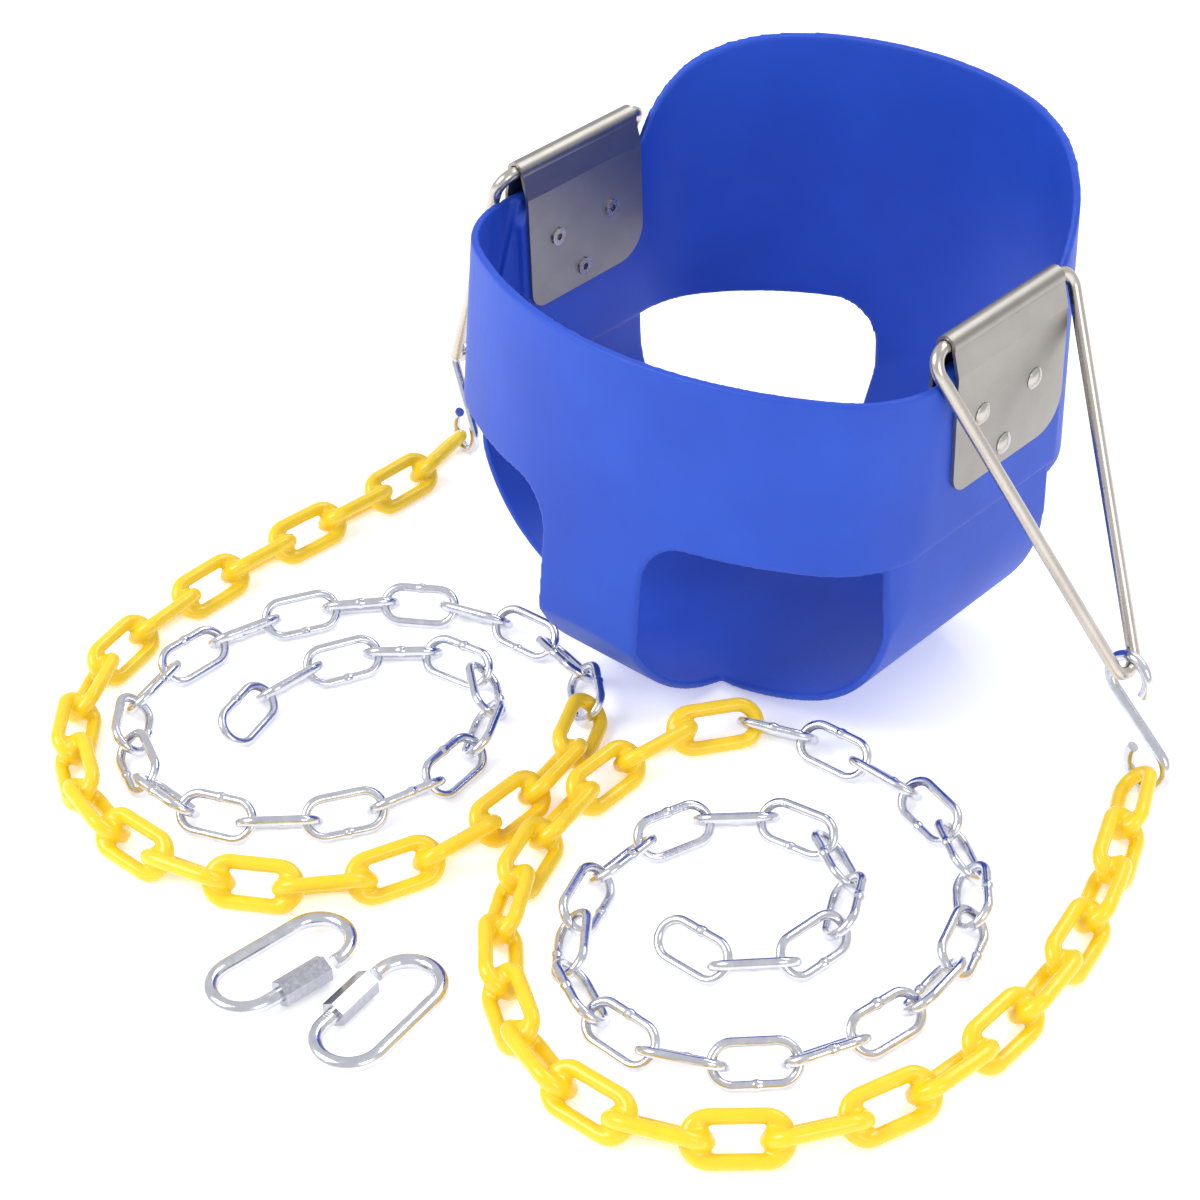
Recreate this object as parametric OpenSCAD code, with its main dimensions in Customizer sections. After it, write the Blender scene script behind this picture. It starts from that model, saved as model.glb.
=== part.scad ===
// High-back toddler bucket seat on two plastisol-coated swing chains.
// X runs from the child's right to the child's left, +Y towards the high back, +Z up.
// The origin is on the floor, under the middle of the line between the two hanger rods.

/* [Seat] */
// Distance between the two hanger rods
rod_span = 290; // [270:1:310]
// Height of the hanger rods above the floor
rod_height = 240; // [225:1:255]
// Thickness of one ply of the moulded EVA seat
ply = 4.5; // [3.5:0.1:5]
// How far the front of the seat stands ahead of the rods, at its rim
front_reach = 134; // [120:1:145]
// How far the back of the seat stands behind the rods
back_reach = 150; // [135:1:160]
// Height of the back panel's rim above the rods
back_rise = 40; // [20:1:55]
// Drop from the rods to the rim of the front band and of the wings
rim_drop = 16; // [14:0.5:18]
// Drop from the rods to the lower edge of the front band
band_drop = 110; // [95:1:118]
// Drop from the rods to the lower edge of the back panel
panel_drop = 126; // [115:1:135]
// Lean of the front wall, its foot being further out than its rim
front_lean = 8; // [0:0.5:10]
// Width of the crotch strap
strap_width = 68; // [50:1:80]
// Width of the arm that joins the seat bottom to the back panel
arm_width = 78; // [60:1:100]
// Front edge of the cradle, measured ahead of the rods
cradle_front = 84; // [70:1:90]
// Rear edge of the cradle, measured behind the rods
cradle_rear = 50; // [48:1:60]
// Bending radius where the front and the back run into the bottom
bottom_radius = 105; // [80:1:110]
// Bending radius of the sling across the middle of the bottom
sling_radius = 190; // [160:1:240]
// Bending radius where the cradle's sides run into the sling
side_radius = 90; // [70:1:100]

/* [Brackets and rivets] */
// Length of the folded plate along the hanger rod
plate_length = 92; // [88:1:96]
// Drop from the rod to the lower edge of the plate
plate_drop = 83; // [75:1:90]
// Thickness of the stainless plate
plate_gauge = 2; // [1.5:0.1:2.5]
// Diameter of the rivet shanks
rivet_d = 6; // [5:0.5:7]
// Diameter of the rivet heads
rivet_head_d = 12; // [10:0.5:14]

/* [Hangers and hooks] */
// Diameter of the hanger wire
hanger_wire = 7; // [6:0.1:7.4]
// Distance from the rod to the middle of the wire at the apex
hanger_length = 201; // [195:1:205]
// Lean of the child's left hanger from straight down, at rest on the seat's side
lean_left = 27; // [26:0.5:30]
// Lean of the child's right hanger from straight down, at rest on the seat's side
lean_right = 30; // [26:0.5:30]
// Diameter of the S-hook wire
hook_wire = 6; // [5:0.1:6.2]
// Radius of the S-hook eyes, to the middle of the wire
hook_eye_r = 12; // [11:0.1:13]
// Length of the S-hook's straight shank
hook_shank = 41.6; // [36:0.4:44]

/* [Chains] */
// Wire diameter of the bare links
link_wire = 5; // [4.5:0.1:5]
// Diameter of the coated wire
coated_wire = 7.8; // [7:0.1:8]
// Width of a link between the middles of its two sides
link_width = 20; // [19.5:0.1:21]
// Distance from one coated link to the next
coated_pitch = 36.6; // [36.2:0.1:37]
// Distance from one bare link to the next, with the chain slack
bare_pitch = 34.3; // [33.8:0.1:34.8]
// Length of a bare link between the middles of its two ends
bare_loop = 41; // [40.8:0.1:41.4]

/* [Quick links] */
// Wire diameter of the quick links
quick_wire = 7.5; // [6:0.1:8]
// Length of a quick link between the middles of its ends
quick_length = 76; // [76:1:80]
// Width of a quick link between the middles of its sides
quick_width = 34; // [30:1:38]
// Width across the flats of the sleeve nut
nut_flats = 12.5; // [12:0.1:14]
// Length of the sleeve nut
nut_length = 27; // [25:1:28]

/* [Hidden] */
$fn = 96;

eva_blue = "#2D58D2";
stainless = "#A7A39E";
hanger_steel = "#C7C0B9";
zinc = "#D2D4DA";
plastisol = "#F6CF2F";

fit = 0.1;                        // parts that are clamped together are drawn this far apart
play = 0.4;                       // running clearance of the loose parts
big = 400;                        // reach of a cutting block, larger than the seat
stack = 3 * ply;                  // the three plies held in a bracket
rod_x = rod_span / 2;
rim_z = rod_height - rim_drop;

// ---------------------------------------------------------------- seat

front_shoulder = 58;              // radii where the straight sides turn into the round ends
back_shoulder = 60;
fillet_r = 26;                    // where the straps run into the band and the panel
end_y = 50;                       // the sides run straight as far as here, and the plies end here
flat = 12;                        // half width of the flat that the seat stands on
foot_y = -front_reach - rim_z * tan(front_lean);   // where the leaning front would meet the floor
half_mid = rod_x + ply / 2;       // half widths of the three plies, outside
half_out = half_mid + ply;
half_in = half_mid - ply;

// One round end of the seat's plan, from y = 0 out to y = deep: three arcs that run into each other
module round_end(half, deep, shoulder, s) {
    cx = half - shoulder;
    end_r = (pow(cx, 2) + pow(deep, 2) - pow(shoulder, 2)) / (2 * (deep - shoulder));
    slope = atan2(end_r - deep, cx);            // where a shoulder meets the end's arc
    for (side = [-1, 1]) translate([side * cx, 0]) circle(shoulder - s);
    translate([0, deep - end_r]) intersection() {
        circle(end_r - s);
        polygon([[0, 0], big * [cos(slope), sin(slope)], big * [-cos(slope), sin(slope)]]);
    }
}
// Plan of a ply, drawn in by s: straight sides that run into one round end at y = reach
module seat_plan(half, reach, shoulder, s) {
    translate([0, end_y]) round_end(half, reach - end_y, shoulder, s);
    translate([s - half, end_y - big]) square([2 * (half - s), big]);
}

// Side profile: straight walls at lo and hi, bent into a flat bottom
module trough(lo, hi, s) {
    r = bottom_radius;
    for (y = [lo + r, hi - r]) translate([y, r]) circle(r - s);
    translate([lo + r, s]) square([hi - lo - 2 * r, r]);
    translate([lo + s, r]) square([hi - lo - 2 * s, big]);
}

// Cross profile: straight sides, side_radius bends and the shallow sling between them
module sling(half, s) {
    side_c = half - side_radius;
    reach = side_c - flat;
    rise = sling_radius - sqrt(pow(sling_radius - side_radius, 2) - pow(reach, 2));
    touch = flat + reach * sling_radius / (sling_radius - side_radius);
    for (side = [-1, 1]) {
        translate([side * side_c, rise]) circle(side_radius - s);
        intersection() {
            translate([side * flat, sling_radius]) circle(sling_radius - s);
            translate([side > 0 ? 0 : -touch, 0]) square([touch, rise]);
        }
    }
    translate([-flat, s]) square([2 * flat, rise]);
    translate([s - half, rise]) square([2 * (half - s), big]);
}

module along_x(w) { rotate([90, 0, 90]) translate([0, 0, -w / 2]) linear_extrude(w) children(); }
module along_y(w) { rotate([90, 0, 0]) translate([0, 0, -w / 2]) linear_extrude(w) children(); }

// The plan carried straight down, leaning out towards the front
module leaning_plan(half, s) {
    translate([0, 0, rim_z]) rotate([-front_lean, 0, 0]) translate([0, 0, -big])
        linear_extrude(2 * big) mirror([0, 1]) seat_plan(half, front_reach, front_shoulder, s);
}
// Inside of the bucket down to one face of a ply; the front wall leans, the back wall stands
module bucket_front(half, s) {
    intersection() {
        leaning_plan(half, s);
        along_y(2 * big) sling(half, s);
        along_x(2 * big) trough(foot_y, back_reach, s);
    }
}
module bucket_back(half, s) {
    intersection() {
        translate([0, 0, -big]) linear_extrude(2 * big) seat_plan(half, back_reach, back_shoulder, s);
        along_y(2 * big) sling(half + 1, s);
        along_x(2 * big) trough(foot_y, back_reach + 1, s);
    }
}

// Places of the three rivets: along the plate, and down from the rod
rivet_spots = [[-24, 45], [20, 45], [-4, 72]];
module rivet_holes(side, d) {
    for (p = rivet_spots)
        translate([side * rod_x, p[0], rod_height - p[1]]) rotate([0, 90, 0])
            cylinder(h = 3 * stack, d = d, center = true);
}

// A strap of width w that widens into a band whose edge is at height z: seen from the front
module strap_view(w, z) {
    translate([-w / 2, -1]) square([w, z + 2]);
    difference() {
        translate([-w / 2 - fillet_r, z - fillet_r]) square([w + 2 * fillet_r, fillet_r + 1]);
        for (side = [-1, 1])
            translate([side * (w / 2 + fillet_r), z - fillet_r]) circle(fillet_r);
    }
}

// Front band, with the crotch strap that carries it, as far as the cradle's front edge
module seat_front() {
    band_z = rod_height - band_drop;
    color(eva_blue) difference() {
        bucket_front(half_out, 0);
        bucket_front(half_out, ply);
        // everything behind the band's ends and above its rim
        translate([-big, end_y, -1]) cube([2 * big, big, big]);
        translate([-big, -big, rim_z]) cube([2 * big, 2 * big, big]);
        // the two leg holes, and the bottom where the cradle takes over
        difference() {
            translate([-big, -big, -1]) cube([2 * big, 2 * big, band_z + 1]);
            intersection() {
                along_y(2 * big) strap_view(strap_width, band_z);
                translate([-big, -big - cradle_front, -1]) cube([2 * big, big, big]);
            }
        }
        for (side = [-1, 1]) rivet_holes(side, rivet_d + 2 * fit);
        leg_dents(1, lean_left);
        leg_dents(-1, lean_right);
    }
}

// Cradle: the sling from plate to plate that the child sits on
module seat_cradle() {
    shoulder_z = rod_height - band_drop;
    half_plate = plate_length / 2;
    color(eva_blue) difference() {
        intersection() {
            leaning_plan(half_out, ply + fit);
            along_y(2 * big) sling(half_mid, fit);
            along_x(2 * big) trough(foot_y, back_reach, 0);
            along_x(2 * big) polygon([
                [-cradle_front + fit, -1], [cradle_rear - fit, -1], [cradle_rear - fit, shoulder_z],
                [half_plate, rim_z], [-half_plate, rim_z], [-cradle_front + fit, shoulder_z]]);
        }
        intersection() {
            leaning_plan(half_out, 2 * ply);
            along_y(2 * big) sling(half_mid, ply);
            along_x(2 * big) trough(foot_y, back_reach, ply);
        }
        for (side = [-1, 1]) rivet_holes(side, rivet_d + 2 * fit);
    }
}

// High back panel with its two wings, and the arm that joins it to the seat bottom
module seat_back() {
    panel_z = rod_height - panel_drop;
    color(eva_blue) difference() {
        intersection() {
            difference() {
                bucket_back(half_in, fit);
                bucket_back(half_in, ply);
            }
            along_x(2 * big) back_view();
        }
        // the two rear leg holes, and the bottom where the cradle takes over
        difference() {
            translate([-big, -big, -1]) cube([2 * big, 2 * big, panel_z + 1]);
            intersection() {
                along_y(2 * big) strap_view(arm_width, panel_z);
                translate([-big, cradle_rear, -1]) cube([2 * big, big, big]);
            }
        }
        for (side = [-1, 1]) rivet_holes(side, rivet_d + 2 * fit);
    }
}

// The back seen from the side: the wings' cut corners, their level rim, and its swift rise behind
module back_view() {
    low_z = rod_height - panel_drop;
    cut = 14;                                   // corners of the wings' front ends
    rise_y = plate_length / 2 + 3;
    polygon(concat(
        [[back_reach + 1, -1], [cut - end_y, -1], [cut - end_y, low_z], [-end_y, low_z + cut],
         [-end_y, rim_z - cut], [cut - end_y, rim_z]],
        [for (i = [0 : 24]) let (t = i / 24)
            [rise_y + t * (back_reach + 1 - rise_y), rim_z + (rim_drop + back_rise) * (1 - pow(1 - t, 3))]]));
}

// ---------------------------------------------------------------- brackets and rivets

roll_in = hanger_wire / 2 + play;               // inside radius of the roll round the rod
roll_out = roll_in + plate_gauge;
leaf_x = stack / 2 + fit;                       // inner face of each leaf, from the stack's middle

function arc_points(r, from, to, n = 30) =
    [for (i = [0 : n]) let (a = from + (to - from) * i / n) r * [cos(a), sin(a)]];

// One stainless plate folded over the rod, its two leaves either side of the plies
module bracket(side) {
    front_corner = 10;                          // the plate's two lower corners
    rear_corner = 20;
    half_plate = plate_length / 2;
    shoulder = rim_drop - 1;
    color(stainless) translate([side * rod_x, 0, rod_height]) difference() {
        intersection() {
            along_y(plate_length) polygon(concat(
                [[leaf_x + plate_gauge, -plate_drop], [leaf_x + plate_gauge, -shoulder]],
                arc_points(roll_out, -15, 195),
                [[-leaf_x - plate_gauge, -shoulder], [-leaf_x - plate_gauge, -plate_drop],
                 [-leaf_x, -plate_drop], [-leaf_x, -shoulder]],
                arc_points(roll_in, 195, -15),
                [[leaf_x, -shoulder], [leaf_x, -plate_drop]]));
            along_x(4 * stack) {
                translate([-half_plate, rear_corner - plate_drop])
                    square([plate_length, plate_drop + roll_out]);
                translate([front_corner - half_plate, -plate_drop])
                    square([plate_length - front_corner - rear_corner, rear_corner + 1]);
                translate([front_corner - half_plate, front_corner - plate_drop]) circle(front_corner);
                translate([-half_plate, front_corner - plate_drop])
                    square([front_corner + 1, rear_corner - front_corner + 1]);
                translate([half_plate - rear_corner, rear_corner - plate_drop]) circle(rear_corner);
            }
        }
        translate([-side * rod_x, 0, -rod_height]) rivet_holes(side, rivet_d + 2 * fit);
    }
}
module bracket_left() { bracket(1); }
module bracket_right() { bracket(-1); }

dome_r = 9.5;                     // radius of the dome on a rivet head

// Tubular rivets: a low dome outside, a rolled end with its hole inside
module rivets(side) {
    head_h = 2.4;
    outer = leaf_x + plate_gauge + fit;
    color(stainless) for (p = rivet_spots)
        translate([side * rod_x, p[0], rod_height - p[1]]) rotate([0, side * 90, 0]) difference() {
            union() {
                cylinder(h = 2 * outer, d = rivet_d, center = true);
                translate([0, 0, outer]) intersection() {
                    cylinder(h = head_h, d = rivet_head_d);
                    translate([0, 0, head_h - dome_r]) sphere(dome_r);
                }
                translate([0, 0, -outer - head_h / 2])
                    cylinder(h = head_h / 2, d = rivet_head_d - 2);
            }
            translate([0, 0, -outer - head_h]) cylinder(h = 2 * head_h, d = rivet_d - 2);
        }
}
module rivets_left() { rivets(1); }
module rivets_right() { rivets(-1); }

// ---------------------------------------------------------------- hangers and S-hooks

// Round wire bent through an arc in the XY plane, from angle a over sweep degrees
module wire_arc(r, wire, a, sweep) {
    rotate([0, 0, a]) rotate_extrude(angle = sweep) translate([r, 0]) circle(d = wire);
}
module wire_run(from, to, wire) {
    d = to - from;
    translate(from) rotate([0, acos(d[2] / norm(d)), atan2(d[1], d[0])]) cylinder(h = norm(d), d = wire);
}
// Straight wire between two bends, with a thin collar over each place where it meets one
module joined_run(from, to, wire) {
    along = (to - from) / norm(to - from);
    wire_run(from + joint_gap * along, to - joint_gap * along, wire);
    for (p = [from, to]) wire_run(p - collar / 2 * along, p + collar / 2 * along, wire + fit);
}
collar = 0.8;                     // length of a collar
joint_gap = 0.02;                 // the collar bridges this gap

bend_r = 9;                       // bends of the hanger wire, to its middle
side_play = 1.5;                  // between a leg's bend and the roll's end
leg_y = plate_length / 2 + bend_r + side_play;   // the legs stand just outside the roll's ends

apex_c = hanger_length - bend_r;  // centre of the apex bend
base_c = leg_y - bend_r;          // centres of the two bends at the rod
leg_tilt = atan2(base_c, apex_c - bend_r);      // slope of the legs against the middle line
leg_off = bend_r * [sin(leg_tilt), cos(leg_tilt), 0];
leg_from = [bend_r, base_c, 0] + leg_off;
leg_to = [apex_c, 0, 0] + leg_off;

// Triangle of wire, drawn in the XY plane with its rod along Y at x = 0 and its apex on +X
module hanger_shape() {
    joined_run([0, -base_c, 0], [0, base_c, 0], hanger_wire);
    translate([apex_c, 0]) wire_arc(bend_r, hanger_wire, leg_tilt - 90, 180 - 2 * leg_tilt);
    for (m = [0, 1]) mirror([0, m]) {
        translate([bend_r, base_c]) wire_arc(bend_r, hanger_wire, 90 - leg_tilt, 90 + leg_tilt);
        joined_run(leg_from, leg_to, hanger_wire);
    }
}
module hanger_place(side, lean) {
    translate([side * rod_x, 0, rod_height]) rotate([0, side > 0 ? 90 - lean : 90 + lean, 0]) children();
}
// Dents that a hanger's two legs press in the band, where they lie on it
module leg_dents(side, lean) {
    hanger_place(side, lean) for (m = [0, 1]) mirror([0, m])
        wire_run(leg_from, leg_to, hanger_wire + 2 * play);
}
module hanger(side, lean) {
    color(hanger_steel) hanger_place(side, lean) hanger_shape();
}
module hanger_left() { hanger(1, lean_left); }
module hanger_right() { hanger(-1, lean_right); }

hook_sweep = 265;                 // each eye's bend, in degrees
hook_slack = 2.5;                 // between the hook and the hanger wire in its eye
hook_clear = 0.3;                 // the lower eye just clears the floor

// Open S-hook with its shank along X; each eye curls round and stops short of the shank
module s_hook_shape() {
    for (a = [0, 180]) rotate([0, 0, a]) translate([hook_shank / 2, -hook_eye_r])
        wire_arc(hook_eye_r, hook_wire, 90 - hook_sweep, hook_sweep);
    joined_run([-hook_shank / 2, 0, 0], [hook_shank / 2, 0, 0], hook_wire);
}

// The hook hangs on the apex wire and leans until its lower eye stands on the floor
// turn is the heading that it leans to, and spin how far it is turned about its own length
module s_hook(side, hanger_lean, turn, spin) {
    eyes = 2 * sqrt(pow(hook_shank / 2, 2) + pow(hook_eye_r, 2));   // from one eye's middle to the other's
    hang = hook_eye_r - (hook_wire + hanger_wire) / 2 - hook_slack; // apex wire above the eye's middle
    apex = [side * (rod_x + hanger_length * sin(hanger_lean)), 0,
        rod_height - hanger_length * cos(hanger_lean)];
    stand = hook_eye_r + hook_wire / 2 + hook_clear;
    lean = acos(min(1, (apex[2] - stand) / (hang + eyes)));
    color(zinc) translate(apex) rotate([0, 0, turn]) rotate([0, -lean, 0]) rotate([90, 0, 0])
        rotate([0, spin, 0]) translate([0, -hang - eyes / 2])
            rotate([0, 0, 90 + atan2(hook_eye_r, hook_shank / 2)]) s_hook_shape();
}
module s_hook_left() { s_hook(1, lean_left, -20, 15); }
module s_hook_right() { s_hook(-1, lean_right, -60, 45); }

// ---------------------------------------------------------------- chains

coated_count = 21;
bare_count = 25;
coat_gap = 1;                     // play between two coated links

// Where the two chains lie on the floor, from the hook to the last link
route_right = [[-244, -14.7], [-235, -50], [-236, -100], [-241, -165], [-241, -235], [-226, -308],
    [-178, -366], [-110, -390], [-38, -376], [12, -330], [28, -268], [24, -205], [5, -160],
    [-30, -132], [-75, -128], [-120, -138], [-168, -175], [-198, -240], [-192, -308], [-146, -348],
    [-88, -350], [-42, -314], [-18, -260], [-27, -208], [-66, -170], [-110, -182], [-138, -225],
    [-140, -272], [-122, -312]];
route_left = [[257.7, -17.1], [282, -70], [304, -135], [313, -215], [300, -290], [257, -348],
    [195, -370], [130, -350], [80, -302], [54, -240], [48, -185], [54, -138], [80, -106], [125, -98],
    [195, -104], [252, -148], [271, -218], [250, -288], [195, -326], [136, -314], [99, -258],
    [104, -192], [145, -156], [188, -168], [212, -208], [204, -244], [180, -262], [140, -260]];

// Smooth curve through the points of a route
steps = 16;
function smooth(p) = [for (i = [0 : len(p) - 2], k = [0 : steps - 1])
    let (a = p[max(i - 1, 0)], b = p[i], c = p[i + 1], d = p[min(i + 2, len(p) - 1)], t = k / steps)
    (2 * b + (c - a) * t + (2 * a - 5 * b + 4 * c - d) * t * t
        + (3 * b - a - 3 * c + d) * t * t * t) / 2];
function lengths(c, i = 1, sum = [0]) = i == len(c) ? sum :
    lengths(c, i + 1, concat(sum, [sum[i - 1] + norm(c[i] - c[i - 1])]));
function link_start(k) = k <= coated_count ? k * coated_pitch :
    coated_count * coated_pitch + (k - coated_count) * bare_pitch;
function spots(c, l) = [for (k = [0 : coated_count + bare_count])
    let (s = link_start(k))
    [lookup(s, [for (i = [0 : len(c) - 1]) [l[i], c[i][0]]]),
     lookup(s, [for (i = [0 : len(c) - 1]) [l[i], c[i][1]]])]];
function walk(p) = let (c = smooth(p)) spots(c, lengths(c));
spots_left = walk(route_left);
spots_right = walk(route_right);

// One link in the XY plane: two half rings and two straight sides
module link(loop, wire) {
    r = link_width / 2;
    c = loop / 2 - r;
    for (a = [0, 180]) rotate([0, 0, a]) {
        translate([c, 0]) wire_arc(r, wire, -90, 180);
        wire_run([-c, r, 0], [c, r, 0], wire);
    }
}

// A run of links; each lies over at 45 degrees, the other way from its neighbours
module links(spots, first, count) {
    for (k = [first : first + count - 1]) {
        coated = k < coated_count;
        wire = coated ? coated_wire : link_wire;
        loop = coated ? coated_pitch + coated_wire + coat_gap : bare_loop;
        d = spots[k + 1] - spots[k];
        mid = (spots[k] + spots[k + 1]) / 2;
        color(coated ? plastisol : zinc)
            translate([mid[0], mid[1], link_width / 2 * sin(45) + wire / 2 + fit])
                rotate([0, 0, atan2(d[1], d[0])]) rotate([k % 2 == 0 ? 45 : -45, 0, 0]) link(loop, wire);
    }
}
module coated_links_left_1() { links(spots_left, 0, 7); }
module coated_links_left_2() { links(spots_left, 7, 7); }
module coated_links_left_3() { links(spots_left, 14, 7); }
module bare_links_left_1() { links(spots_left, 21, 8); }
module bare_links_left_2() { links(spots_left, 29, 8); }
module bare_links_left_3() { links(spots_left, 37, 8); }
module end_link_left() { links(spots_left, 45, 1); }
module coated_links_right_1() { links(spots_right, 0, 7); }
module coated_links_right_2() { links(spots_right, 7, 7); }
module coated_links_right_3() { links(spots_right, 14, 7); }
module bare_links_right_1() { links(spots_right, 21, 8); }
module bare_links_right_2() { links(spots_right, 29, 8); }
module bare_links_right_3() { links(spots_right, 37, 8); }
module end_link_right() { links(spots_right, 45, 1); }

// ---------------------------------------------------------------- quick links

// Middle, heading and nut side of each loose quick link; 1 puts the nut on the left of the heading
quick_place_1 = [[21, -396], 84, -1];
quick_place_2 = [[81, -388], 98, 1];
gap_start = 11;                   // the wire's two ends, along the link from its middle
gap_end = 19;

module quick_at(place) {
    translate([place[0][0], place[0][1], nut_flats / 2 / cos(30) + fit])
        rotate([0, 0, place[1]]) mirror([0, place[2] < 0 ? 1 : 0, 0]) children();
}
// Open oval of wire with its gap in one long side
module quick_link_shape() {
    r = quick_width / 2;
    c = quick_length / 2 - r;
    for (a = [0, 180]) rotate([0, 0, a]) translate([c, 0]) wire_arc(r, quick_wire, -90, 180);
    wire_run([-c, -r, 0], [c, -r, 0], quick_wire);
    wire_run([-c, r, 0], [gap_start, r, 0], quick_wire);
    wire_run([gap_end, r, 0], [c, r, 0], quick_wire);
}
module quick_nut_shape() {
    translate([-nut_length / 2, quick_width / 2, 0]) rotate([0, 90, 0]) difference() {
        cylinder(h = nut_length, d = nut_flats / cos(30), $fn = 6);
        translate([0, 0, -1]) cylinder(h = nut_length + 2, d = quick_wire + 2 * fit);
    }
}
module quick_link_1() { color(zinc) quick_at(quick_place_1) quick_link_shape(); }
module quick_link_2() { color(zinc) quick_at(quick_place_2) quick_link_shape(); }
module quick_nut_1() { color(zinc) quick_at(quick_place_1) quick_nut_shape(); }
module quick_nut_2() { color(zinc) quick_at(quick_place_2) quick_nut_shape(); }

seat_front();
seat_cradle();
seat_back();
bracket_left();
bracket_right();
rivets_left();
rivets_right();
hanger_left();
hanger_right();
s_hook_left();
s_hook_right();
coated_links_left_1();
coated_links_left_2();
coated_links_left_3();
bare_links_left_1();
bare_links_left_2();
bare_links_left_3();
end_link_left();
coated_links_right_1();
coated_links_right_2();
coated_links_right_3();
bare_links_right_1();
bare_links_right_2();
bare_links_right_3();
end_link_right();
quick_link_1();
quick_link_2();
quick_nut_1();
quick_nut_2();
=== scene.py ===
"""A high-back toddler bucket swing, set down on the floor with its two chains laid out round it."""
import math

import bmesh
import bpy
from mathutils import Matrix, Vector


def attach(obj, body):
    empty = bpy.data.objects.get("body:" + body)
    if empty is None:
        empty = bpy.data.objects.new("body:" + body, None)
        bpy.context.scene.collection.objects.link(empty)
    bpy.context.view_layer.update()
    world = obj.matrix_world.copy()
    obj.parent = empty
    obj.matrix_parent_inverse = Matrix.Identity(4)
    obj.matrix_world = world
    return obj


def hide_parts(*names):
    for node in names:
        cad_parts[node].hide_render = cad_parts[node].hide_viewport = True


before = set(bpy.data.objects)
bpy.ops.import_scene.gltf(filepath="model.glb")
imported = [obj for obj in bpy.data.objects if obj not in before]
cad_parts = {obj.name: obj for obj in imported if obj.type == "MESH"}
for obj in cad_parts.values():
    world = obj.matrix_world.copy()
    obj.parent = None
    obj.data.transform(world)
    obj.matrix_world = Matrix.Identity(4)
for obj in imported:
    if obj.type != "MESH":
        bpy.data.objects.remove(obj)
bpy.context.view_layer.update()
scene = bpy.context.scene

# ---- Camera: stands in front of the seat and to its left side, a little over a metre up, looking
# ---- down into the bucket through a short telephoto lens, and tipped by under two degrees.
camera = bpy.data.objects.new("camera", bpy.data.cameras.new("camera"))
scene.collection.objects.link(camera)
camera.data.lens = 81.45
camera.data.sensor_width = 36
camera.data.clip_start = 0.05
right, up = Vector((0.7351, 0.6773, -0.0301)), Vector((-0.3790, 0.4474, 0.8100))
look = up.cross(right).normalized()
up = right.normalized().cross(look)
camera.matrix_world = Matrix.Translation((0.8062, -0.9804, 0.9144)) @ Matrix(
    (right.normalized(), up.normalized(), -look)).transposed().to_4x4()
scene.camera = camera
scene.view_settings.view_transform = "Standard"

# ---- Studio floor: one wide sheet of white paper, evenly lit, so that only faint contact
# ---- shadows show. It is matt, and a little light of its own keeps it as pale as the wall.


def linear(colour):
    """A screen colour such as "2D58D2" as the linear values that shading works in."""
    parts = [int(colour[i:i + 2], 16) / 255 for i in (0, 2, 4)]
    return [c / 12.92 if c <= 0.04045 else ((c + 0.055) / 1.055) ** 2.4 for c in parts] + [1]


def add(mat, kind, inputs=None, **settings):
    """Adds a node to a material; an input is a value or the socket that feeds it."""
    n = mat.node_tree.nodes.new(kind)
    for name, value in settings.items():
        setattr(n, name, value)
    for name, value in (inputs or {}).items():
        if isinstance(value, bpy.types.NodeSocket):
            mat.node_tree.links.new(value, n.inputs[name])
        else:
            n.inputs[name].default_value = value
    return n


def shader(name):
    """A new material and its Principled shader."""
    mat = bpy.data.materials.new(name)
    mat.use_nodes = True
    return mat, mat.node_tree.nodes["Principled BSDF"]


def feed(mat, socket, source):
    mat.node_tree.links.new(source, socket)


paper, surface = shader("white backdrop paper, matt")
surface.inputs["Base Color"].default_value = linear("FBFBFC")
surface.inputs["Roughness"].default_value = 0.7
surface.inputs["Specular IOR Level"].default_value = 0.2
surface.inputs["Emission Color"].default_value = linear("FFFFFF")
surface.inputs["Emission Strength"].default_value = 0.30

mesh = bpy.data.meshes.new("floor")
mesh.from_pydata([(-8, -8, 0), (8, -8, 0), (8, 8, 0), (-8, 8, 0)], [], [(0, 1, 2, 3)])
mesh.materials.append(paper)
floor = bpy.data.objects.new("floor", mesh)
scene.collection.objects.link(floor)

# ---- Light: a pale room, one large softbox high on the left of the camera that shapes the seat,
# ---- a weaker one on the right and a long strip behind that edges the steel.
world = bpy.data.worlds.new("studio")
world.use_nodes = True
world.node_tree.nodes["Background"].inputs["Color"].default_value = linear("F4F5F8")
world.node_tree.nodes["Background"].inputs["Strength"].default_value = 0.85
scene.world = world


def softbox(name, place, aim, size, watts):
    lamp = bpy.data.lights.new(name, "AREA")
    lamp.shape = "RECTANGLE"
    lamp.size, lamp.size_y = size
    lamp.energy = watts
    o = bpy.data.objects.new(name, lamp)
    o.location = place
    o.rotation_euler = (Vector(aim) - Vector(place)).to_track_quat("-Z", "Y").to_euler()
    scene.collection.objects.link(o)


softbox("key softbox", (-1.2, -1.9, 2.1), (0, -0.05, 0.1), (1.6, 1.6), 46)
softbox("fill softbox", (2.3, -0.7, 1.3), (0, 0, 0.1), (1.2, 1.2), 14)
softbox("top strip", (0.3, 1.5, 2.2), (0, 0.1, 0.1), (2.2, 0.7), 22)

# ---- Seat: one die-cut sheet of blue EVA, 4.5 mm thick, pressed warm over a former and closed
# ---- round on itself at the sides, where three layers are clamped. The cut edges are softened by
# ---- the press, and the straps run into the band and the panel without a seam.


def across(mm):
    """The noise scale that gives patches this many millimetres across."""
    return 1000 / mm


eva, surface = shader("moulded blue EVA, satin from the press")
where = add(eva, "ShaderNodeTexCoord").outputs["Object"]
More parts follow.
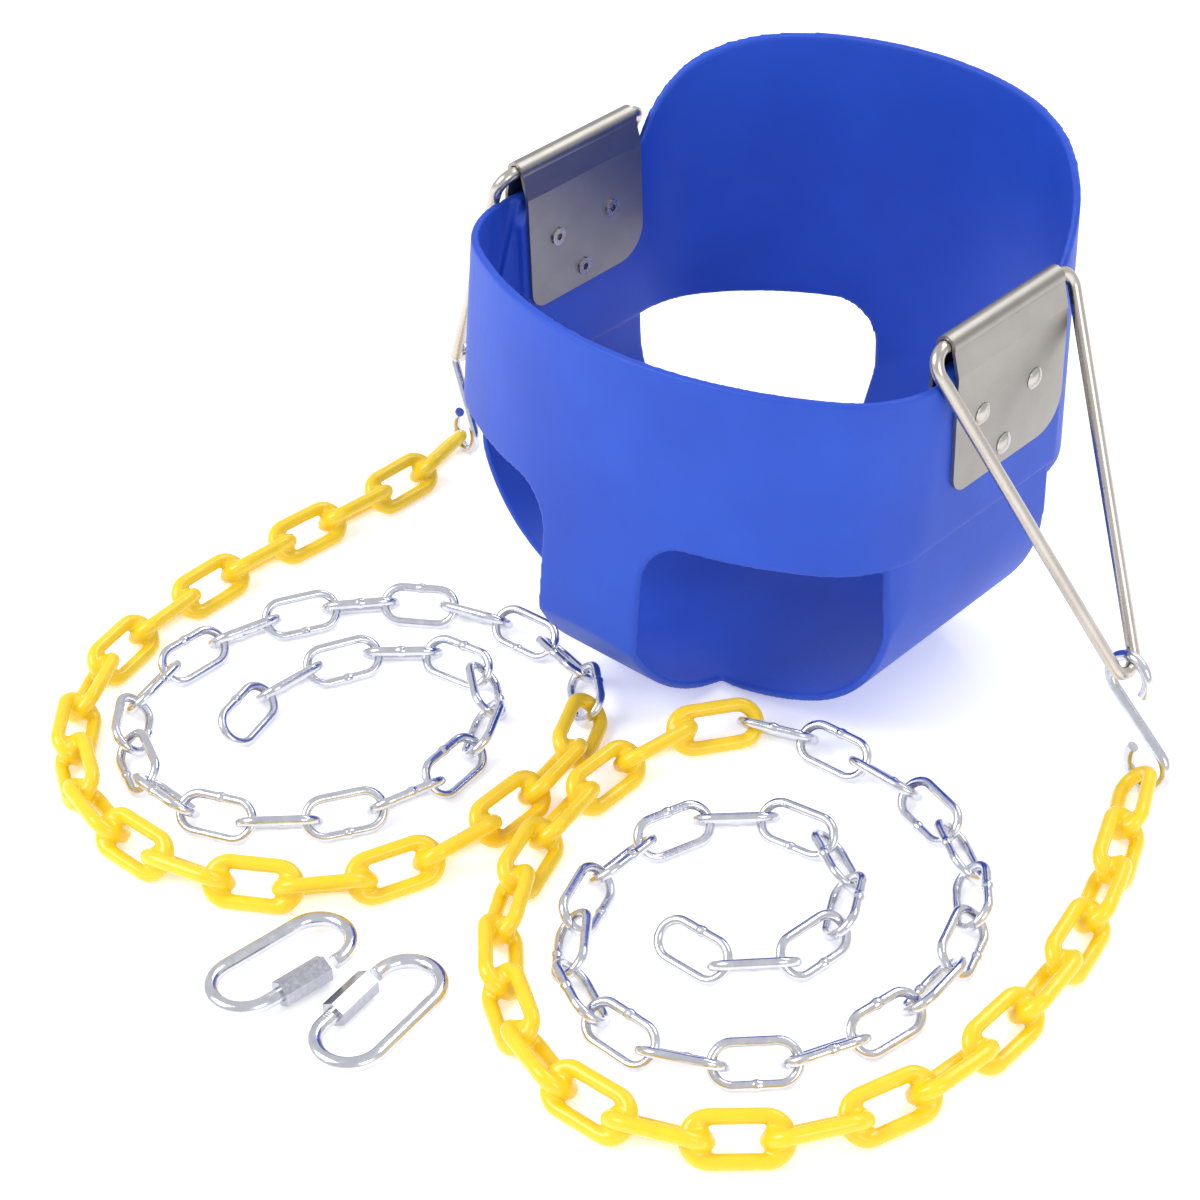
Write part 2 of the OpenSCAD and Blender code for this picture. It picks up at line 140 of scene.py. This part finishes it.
# drifting shade from uneven heat, some 60 mm across, and a fine leathery press grain under 1 mm
shade = add(eva, "ShaderNodeTexNoise", {"Vector": where, "Scale": across(59), "Detail": 3.0})
grain = add(eva, "ShaderNodeTexNoise", {"Vector": where, "Scale": across(0.91), "Detail": 2.0})
dents = add(eva, "ShaderNodeTexNoise", {"Vector": where, "Scale": across(11.1), "Detail": 1.0})
ramp = add(eva, "ShaderNodeValToRGB", {"Fac": shade.outputs["Fac"]})
ramp.color_ramp.elements[0].position, ramp.color_ramp.elements[1].position = 0.35, 0.68
ramp.color_ramp.elements[0].color, ramp.color_ramp.elements[1].color = linear("0C41B4"), linear("1148BE")
feed(eva, surface.inputs["Base Color"], ramp.outputs["Color"])
sheen = add(eva, "ShaderNodeMapRange", {"Value": grain.outputs["Fac"], "To Min": 0.46, "To Max": 0.58})
feed(eva, surface.inputs["Roughness"], sheen.outputs["Result"])
surface.inputs["IOR"].default_value = 1.49
low = add(eva, "ShaderNodeBump", {"Height": dents.outputs["Fac"], "Strength": 0.25, "Distance": 0.0004})
fine = add(eva, "ShaderNodeBump", {"Height": grain.outputs["Fac"], "Strength": 0.22, "Distance": 0.00008,
                                   "Normal": low.outputs["Normal"]})
feed(eva, surface.inputs["Normal"], fine.outputs["Normal"])


def merged(name, sources, voxel, rounds, factor=0.5):
    """One closed skin over several solids, with its edges rounded by smoothing."""
    bm = bmesh.new()
    for source in sources:
        bm.from_mesh(source)
    joined = bpy.data.meshes.new(name)
    bm.to_mesh(joined)
    bm.free()
    o = bpy.data.objects.new(name, joined)
    scene.collection.objects.link(o)
    skin = o.modifiers.new("skin", "REMESH")
    skin.mode = "VOXEL"
    skin.voxel_size = voxel
    soften = o.modifiers.new("soften", "SMOOTH")
    soften.factor, soften.iterations = factor, rounds
    done = bpy.data.meshes.new_from_object(o.evaluated_get(bpy.context.evaluated_depsgraph_get()))
    o.modifiers.clear()
    o.data = done
    for p in done.polygons:
        p.use_smooth = True
    return o


seat_nodes = ("seat_front", "seat_cradle", "seat_back")
seat = merged("eva_seat", [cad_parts[n].data for n in seat_nodes], 0.0013, 7)
seat.data.materials.clear()
seat.data.materials.append(eva)
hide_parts(*seat_nodes)
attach(seat, "seat")

# ---- Brackets: a 2 mm stainless plate on each side, sheared with two round corners, folded over
# ---- the hanger's rod and closed on the seat. Its mill finish is brushed along the fold.
plate, surface = shader("stainless plate, brushed along the fold")
where = add(plate, "ShaderNodeTexCoord").outputs["Object"]
along = add(plate, "ShaderNodeMapping", {"Vector": where, "Scale": (1.0, 0.02, 1.0)})
brush = add(plate, "ShaderNodeTexNoise",
            {"Vector": along.outputs["Vector"], "Scale": across(0.385), "Detail": 3.0})
cloud = add(plate, "ShaderNodeTexNoise", {"Vector": where, "Scale": across(16.7), "Detail": 3.0})
ramp = add(plate, "ShaderNodeValToRGB", {"Fac": cloud.outputs["Fac"]})
ramp.color_ramp.elements[0].position, ramp.color_ramp.elements[1].position = 0.3, 0.75
ramp.color_ramp.elements[0].color, ramp.color_ramp.elements[1].color = linear("9A9690"), linear("A29E98")
feed(plate, surface.inputs["Base Color"], ramp.outputs["Color"])
surface.inputs["Metallic"].default_value = 1.0
rough = add(plate, "ShaderNodeMapRange", {"Value": brush.outputs["Fac"], "To Min": 0.30, "To Max": 0.46})
feed(plate, surface.inputs["Roughness"], rough.outputs["Result"])
lines = add(plate, "ShaderNodeBump", {"Height": brush.outputs["Fac"], "Strength": 0.35, "Distance": 0.00003})
feed(plate, surface.inputs["Normal"], lines.outputs["Normal"])


def finish_node(name, mat, edge=0.0):
    """Gives a CAD node its material, and rounds its edges by the given radius."""
    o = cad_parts[name]
    for spot in o.material_slots:
        spot.material = mat
    if edge:
        bevel = o.modifiers.new("edge", "BEVEL")
        bevel.width, bevel.segments = edge, 2
        bevel.limit_method, bevel.angle_limit = "ANGLE", math.radians(50)


for node in ("bracket_left", "bracket_right"):
    finish_node(node, plate, 0.0004)

# ---- Rivets: three on each side, cold-headed stainless tube. The head outside is a low dome; inside
# ---- the tube is rolled over and its hole shows. They are polished by the tool that sets them.
rivet, surface = shader("stainless rivet, polished by the setting tool")
where = add(rivet, "ShaderNodeTexCoord").outputs["Object"]
marks = add(rivet, "ShaderNodeTexNoise", {"Vector": where, "Scale": across(1.43), "Detail": 3.0})
surface.inputs["Base Color"].default_value = linear("BDB9B3")
surface.inputs["Metallic"].default_value = 1.0
rough = add(rivet, "ShaderNodeMapRange", {"Value": marks.outputs["Fac"], "To Min": 0.18, "To Max": 0.34})
feed(rivet, surface.inputs["Roughness"], rough.outputs["Result"])
dimple = add(rivet, "ShaderNodeBump", {"Height": marks.outputs["Fac"], "Strength": 0.2, "Distance": 0.0001})
feed(rivet, surface.inputs["Normal"], dimple.outputs["Normal"])
for node in ("rivets_left", "rivets_right"):
    finish_node(node, rivet, 0.0005)

# ---- Hangers: 7 mm drawn steel wire bent into a closed triangle through the rolled plate. Drawing
# ---- leaves it bright, with fine lines along the wire and a slightly warm tone.
drawn, surface = shader("drawn steel wire, bright")
where = add(drawn, "ShaderNodeTexCoord").outputs["Object"]
draw = add(drawn, "ShaderNodeTexNoise", {"Vector": where, "Scale": across(2.38), "Detail": 4.0})
patch = add(drawn, "ShaderNodeTexNoise", {"Vector": where, "Scale": across(22.2), "Detail": 2.0})
ramp = add(drawn, "ShaderNodeValToRGB", {"Fac": patch.outputs["Fac"]})
ramp.color_ramp.elements[0].color, ramp.color_ramp.elements[1].color = linear("B7B0A7"), linear("D2CCC4")
feed(drawn, surface.inputs["Base Color"], ramp.outputs["Color"])
surface.inputs["Metallic"].default_value = 1.0
rough = add(drawn, "ShaderNodeMapRange", {"Value": draw.outputs["Fac"], "To Min": 0.20, "To Max": 0.38})
feed(drawn, surface.inputs["Roughness"], rough.outputs["Result"])
skin = add(drawn, "ShaderNodeBump", {"Height": draw.outputs["Fac"], "Strength": 0.15, "Distance": 0.00006})
feed(drawn, surface.inputs["Normal"], skin.outputs["Normal"])
for node in ("hanger_left", "hanger_right"):
    finish_node(node, drawn)

# ---- S-hooks: 6 mm wire bent into two open eyes, its ends cropped, then zinc plated. The bright
# ---- plating runs over small tool marks and is a little cloudy.
zinc, surface = shader("bright zinc plating over steel wire")
where = add(zinc, "ShaderNodeTexCoord").outputs["Object"]
cloud = add(zinc, "ShaderNodeTexNoise", {"Vector": where, "Scale": across(6.67), "Detail": 3.0})
pits = add(zinc, "ShaderNodeTexNoise", {"Vector": where, "Scale": across(1.54), "Detail": 2.0})
ramp = add(zinc, "ShaderNodeValToRGB", {"Fac": cloud.outputs["Fac"]})
ramp.color_ramp.elements[0].color, ramp.color_ramp.elements[1].color = linear("BFC1CB"), linear("E2E3E8")
feed(zinc, surface.inputs["Base Color"], ramp.outputs["Color"])
surface.inputs["Metallic"].default_value = 1.0
rough = add(zinc, "ShaderNodeMapRange", {"Value": cloud.outputs["Fac"], "To Min": 0.10, "To Max": 0.26})
feed(zinc, surface.inputs["Roughness"], rough.outputs["Result"])
uneven = add(zinc, "ShaderNodeBump", {"Height": pits.outputs["Fac"], "Strength": 0.35, "Distance": 0.0002})
feed(zinc, surface.inputs["Normal"], uneven.outputs["Normal"])
for node in ("s_hook_left", "s_hook_right"):
    finish_node(node, zinc, 0.0006)

# ---- Coated chain: 21 links on each side, dipped as a run in yellow plastisol. The skin is close to
# ---- 1.5 mm thick, glossy, and swells into a web wherever two links touched in the dip.
plastisol, surface = shader("yellow plastisol, glossy from the dip")
where = add(plastisol, "ShaderNodeTexCoord").outputs["Object"]
flow = add(plastisol, "ShaderNodeTexNoise", {"Vector": where, "Scale": across(9.1), "Detail": 2.0})
specks = add(plastisol, "ShaderNodeTexNoise", {"Vector": where, "Scale": across(1.11), "Detail": 2.0})
ramp = add(plastisol, "ShaderNodeValToRGB", {"Fac": flow.outputs["Fac"]})
ramp.color_ramp.elements[0].color, ramp.color_ramp.elements[1].color = linear("EDC316"), linear("F6D228")
feed(plastisol, surface.inputs["Base Color"], ramp.outputs["Color"])
gloss = add(plastisol, "ShaderNodeMapRange", {"Value": specks.outputs["Fac"], "To Min": 0.16, "To Max": 0.30})
feed(plastisol, surface.inputs["Roughness"], gloss.outputs["Result"])
surface.inputs["IOR"].default_value = 1.53
surface.inputs["Subsurface Weight"].default_value = 0.12
surface.inputs["Subsurface Radius"].default_value = (0.004, 0.003, 0.0006)
surface.inputs["Subsurface Scale"].default_value = 0.5
runs = add(plastisol, "ShaderNodeBump", {"Height": flow.outputs["Fac"], "Strength": 0.3, "Distance": 0.0005})
feed(plastisol, surface.inputs["Normal"], runs.outputs["Normal"])

# where each chain lies, from its hook to its last link, in millimetres on the floor
ROUTES = {
    "right": [(-244, -14.7), (-235, -50), (-236, -100), (-241, -165), (-241, -235), (-226, -308),
              (-178, -366), (-110, -390), (-38, -376), (12, -330), (28, -268), (24, -205), (5, -160),
              (-30, -132), (-75, -128), (-120, -138), (-168, -175), (-198, -240), (-192, -308),
              (-146, -348), (-88, -350), (-42, -314), (-18, -260), (-27, -208), (-66, -170),
              (-110, -182), (-138, -225), (-140, -272), (-122, -312)],
    "left": [(257.7, -17.1), (282, -70), (304, -135), (313, -215), (300, -290), (257, -348),
             (195, -370), (130, -350), (80, -302), (54, -240), (48, -185), (54, -138), (80, -106),
             (125, -98), (195, -104), (252, -148), (271, -218), (250, -288), (195, -326), (136, -314),
             (99, -258), (104, -192), (145, -156), (188, -168), (212, -208), (204, -244), (180, -262),
             (140, -260)]}
COATED, BARE = 21, 25                 # links of each kind
COATED_PITCH, BARE_PITCH = 36.6, 34.3   # from one link to the next, mm
LINK_WIDTH = 20                       # between the middles of a link's two sides
COATED_WIRE, COATED_LOOP = 7.8, 45.4    # width over the skin, and length between the two ends
LEAN = 45                             # links lie rolled this far to one side, then to the other
CLEAR = 0.1                           # space left between the wire and the floor
FULLER, FULL_FROM = 0.35, 12          # what the skin gains at a link's ends, and where that begins
WEB = (8.0, 6.6, 6.6)                 # half sizes of the web between two links
WEB_HEIGHT = 11.1                     # middle of the webs above the floor


def joints_along(route):
    """The points on the floor where each link meets the next, at the chain's own pitches."""
    curve, parts = [], 16
    for i in range(len(route) - 1):
        a, b, c, d = (Vector(route[min(max(j, 0), len(route) - 1)]) for j in range(i - 1, i + 3))
        for k in range(parts):
            t = k / parts
            curve.append((2 * b + (c - a) * t + (2 * a - 5 * b + 4 * c - d) * t * t
                          + (3 * b - a - 3 * c + d) * t ** 3) / 2)
    out, walked, want = [curve[0]], 0.0, COATED_PITCH
    for a, b in zip(curve, curve[1:]):
        step = (b - a).length
        while walked + step >= want and len(out) <= COATED + BARE:
            out.append(a + (b - a) * ((want - walked) / step))
            want += COATED_PITCH if len(out) <= COATED else BARE_PITCH
        walked += step
    return out


def link_frame(points, k, wire):
    """Place of link k: its middle, along the chain, and rolled to one side or the other."""
    a, b = points[k], points[k + 1]
    middle = (a + b) / 2
    turn = Matrix.Rotation(math.atan2(b.y - a.y, b.x - a.x), 4, "Z")
    roll = Matrix.Rotation(math.radians(LEAN if k % 2 == 0 else -LEAN), 4, "X")
    height = LINK_WIDTH / 2 * math.sin(math.radians(LEAN)) + wire / 2 + CLEAR
    return Matrix.Scale(0.001, 4) @ Matrix.Translation((middle.x, middle.y, height)) @ turn @ roll


def tube(bm, path, radii, place, sides=16):
    """A closed tube round a flat path; radii are its half width in the plane and across it."""
    rings = []
    for i, p in enumerate(path):
        along = (path[(i + 1) % len(path)] - path[i - 1]).normalized()
        out = Vector((along.y, -along.x, 0))
        ring = []
        for j in range(sides):
            a = 2 * math.pi * j / sides
            spot = p + out * (radii[i] * math.cos(a)) + Vector((0, 0, radii[i] * math.sin(a)))
            ring.append(bm.verts.new(place @ spot))
        rings.append(ring)
    for one, two in zip(rings, rings[1:] + rings[:1]):
        for j in range(sides):
            bm.faces.new((one[j], one[j - 1], two[j - 1], two[j]))


def oval(loop, width, bend=14, side=8):
    """The middle line of a link: two half rings and two straight sides."""
    r = width / 2
    c = loop / 2 - r
    points = []
    for end, first in ((1, -90), (-1, 90)):
        for i in range(bend + 1):
            a = math.radians(first + 180 * i / bend)
            points.append(Vector((end * c + r * math.cos(a), r * math.sin(a), 0)))
        points += [Vector((end * c * (1 - 2 * i / side), end * r, 0)) for i in range(1, side)]
    return points


for side, route in ROUTES.items():
    joints = joints_along(route)
    bm = bmesh.new()
    for k in range(COATED):
        path = oval(COATED_LOOP, LINK_WIDTH)
        # the skin is a little fuller round the two ends, where it drained; the hook rubs the first
        full = FULLER / (COATED_LOOP / 2 - FULL_FROM) if k else 0.0
        radii = [COATED_WIRE / 2 + full * max(0, abs(p.x) - FULL_FROM) for p in path]
        tube(bm, path, radii, link_frame(joints, k, COATED_WIRE))
    for k in range(1, COATED):
        # a web of plastisol between each pair of links, longer along the chain than across it
        a, b = joints[k - 1], joints[k + 1]
        turn = Matrix.Rotation(math.atan2(b.y - a.y, b.x - a.x), 4, "Z")
        place = Matrix.Scale(0.001, 4) @ Matrix.Translation((*joints[k], WEB_HEIGHT)) @ turn
        bmesh.ops.create_icosphere(bm, subdivisions=3, radius=1.0,
                                   matrix=place @ Matrix.Diagonal((*WEB, 1)))
    raw = bpy.data.meshes.new("links")
    bm.to_mesh(raw)
    bm.free()
    chain = merged("coated_chain_%s_skin" % side, [raw], 0.0009, 5)
    chain.data.materials.clear()
    chain.data.materials.append(plastisol)
    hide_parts(*["coated_links_%s_%d" % (side, i) for i in (1, 2, 3)])
    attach(chain, "coated_chain_" + side)

# ---- Bare chain: 25 links on each side, 5 mm wire bent to an oval and butt welded in the middle of
# ---- one side, which leaves a low bead, then zinc plated.
BARE_WIRE = 5.0
BEAD_HALF, BEAD_R, BEAD_SWELL = 3.2, 2.46, 0.62   # half length, radius at its ends, and rise, mm
BEAD_RINGS, BEAD_SIDES = 15, 20
for side, route in ROUTES.items():
    for node in ["bare_links_%s_%d" % (side, i) for i in (1, 2, 3)] + ["end_link_" + side]:
        finish_node(node, zinc)
    joints = joints_along(route)
    bm = bmesh.new()
    for k in range(COATED, COATED + BARE):
        weld_side = -LINK_WIDTH / 2 if k % 4 < 2 else LINK_WIDTH / 2
        place = link_frame(joints, k, BARE_WIRE) @ Matrix.Translation((0, weld_side, 0))
        rings = []
        for i in range(BEAD_RINGS):
            x = BEAD_HALF * (2 * i / (BEAD_RINGS - 1) - 1)
            bulge = 0.5 + 0.5 * math.cos(math.pi * x / BEAD_HALF)
            # the trimming tool leaves each bead a little uneven
            r = BEAD_R + BEAD_SWELL * bulge * (1 + 0.12 * math.sin(9 * x + k))
            rings.append([bm.verts.new(place @ Vector((x, r * math.cos(a), r * math.sin(a))))
                          for a in [2 * math.pi * j / BEAD_SIDES for j in range(BEAD_SIDES)]])
        for one, two in zip(rings, rings[1:]):
            for j in range(BEAD_SIDES):
                bm.faces.new((one[j - 1], one[j], two[j], two[j - 1]))
        bm.faces.new(rings[0])
        bm.faces.new(list(reversed(rings[-1])))
    bmesh.ops.recalc_face_normals(bm, faces=bm.faces)
    beads = bpy.data.meshes.new("weld_beads_" + side)
    bm.to_mesh(beads)
    bm.free()
    for p in beads.polygons:
        p.use_smooth = True
    beads.materials.append(zinc)
    welds = bpy.data.objects.new("weld_beads_" + side, beads)
    scene.collection.objects.link(welds)
    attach(welds, "bare_chain_" + side)

# ---- Quick links: two loose ovals of 7.5 mm wire with a gap in one side, threaded either side of
# ---- it, and a six-sided sleeve nut that runs across. All are zinc plated; the nut is greyer.
for node in ("quick_link_1", "quick_link_2"):
    finish_node(node, zinc, 0.0008)
nut, surface = shader("bright zinc plating over a turned hexagon nut")
where = add(nut, "ShaderNodeTexCoord").outputs["Object"]
turned = add(nut, "ShaderNodeTexNoise", {"Vector": where, "Scale": across(2.0), "Detail": 3.0})
ramp = add(nut, "ShaderNodeValToRGB", {"Fac": turned.outputs["Fac"]})
ramp.color_ramp.elements[0].color, ramp.color_ramp.elements[1].color = linear("9FA1AB"), linear("C4C5CC")
feed(nut, surface.inputs["Base Color"], ramp.outputs["Color"])
surface.inputs["Metallic"].default_value = 1.0
rough = add(nut, "ShaderNodeMapRange", {"Value": turned.outputs["Fac"], "To Min": 0.16, "To Max": 0.3})
feed(nut, surface.inputs["Roughness"], rough.outputs["Result"])
wear = add(nut, "ShaderNodeBump", {"Height": turned.outputs["Fac"], "Strength": 0.2, "Distance": 0.0001})
feed(nut, surface.inputs["Normal"], wear.outputs["Normal"])
for node in ("quick_nut_1", "quick_nut_2"):
    finish_node(node, nut, 0.0008)

# middle of each quick link on the floor, its heading, and the side its nut is on
PLACES = {"1": ((21, -396), 84, -1), "2": ((81, -388), 98, 1)}
QUICK_WIDTH, NUT_FLATS = 34, 12.5     # between the wire's middles, and across the nut's flats
THREAD_PITCH, THREAD_R = 1.25, 3.75
THREADS = ((-20.5, -13.6), (19.1, 21.6))   # where the thread shows, along the nut's side
TURN_STEPS = 24
# the thread's profile: along the wire, and above it
PROFILE = ((-0.55, -0.2), (-0.1, 0.06), (0.1, 0.06), (0.55, -0.2))
nut_height = NUT_FLATS / 2 / math.cos(math.radians(30)) + CLEAR   # it lies on an edge
for number, (spot, heading, nut_side) in PLACES.items():
    place = (Matrix.Scale(0.001, 4) @ Matrix.Translation((*spot, nut_height))
             @ Matrix.Rotation(math.radians(heading), 4, "Z")
             @ Matrix.Translation((0, QUICK_WIDTH / 2 * nut_side, 0)))
    bm = bmesh.new()
    # a rolled thread, low enough to pass through the nut, on both sides of the gap
    for first, last in THREADS:
        count = int((last - first) / THREAD_PITCH * TURN_STEPS)
        rings = []
        for i in range(count + 1):
            a = 2 * math.pi * i / TURN_STEPS
            x = first + (last - first) * i / count
            fade = min(1, 2 * i / TURN_STEPS, 2 * (count - i) / TURN_STEPS)
            ring = []
            for dx, rise in PROFILE:
                r = THREAD_R + (rise * fade if rise > 0 else rise)
                ring.append(bm.verts.new(place @ Vector((x + dx, r * math.cos(a), r * math.sin(a)))))
            rings.append(ring)
        for one, two in zip(rings, rings[1:]):
            for j in range(len(PROFILE)):
                bm.faces.new((one[j - 1], one[j], two[j], two[j - 1]))
        bm.faces.new(rings[0])
        bm.faces.new(list(reversed(rings[-1])))
    bmesh.ops.recalc_face_normals(bm, faces=bm.faces)
    ridge = bpy.data.meshes.new("quick_link_thread_" + number)
    bm.to_mesh(ridge)
    bm.free()
    ridge.materials.append(zinc)
    thread = bpy.data.objects.new("quick_link_thread_" + number, ridge)
    scene.collection.objects.link(thread)
    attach(thread, "quick_link_" + number)

bpy.context.view_layer.update()
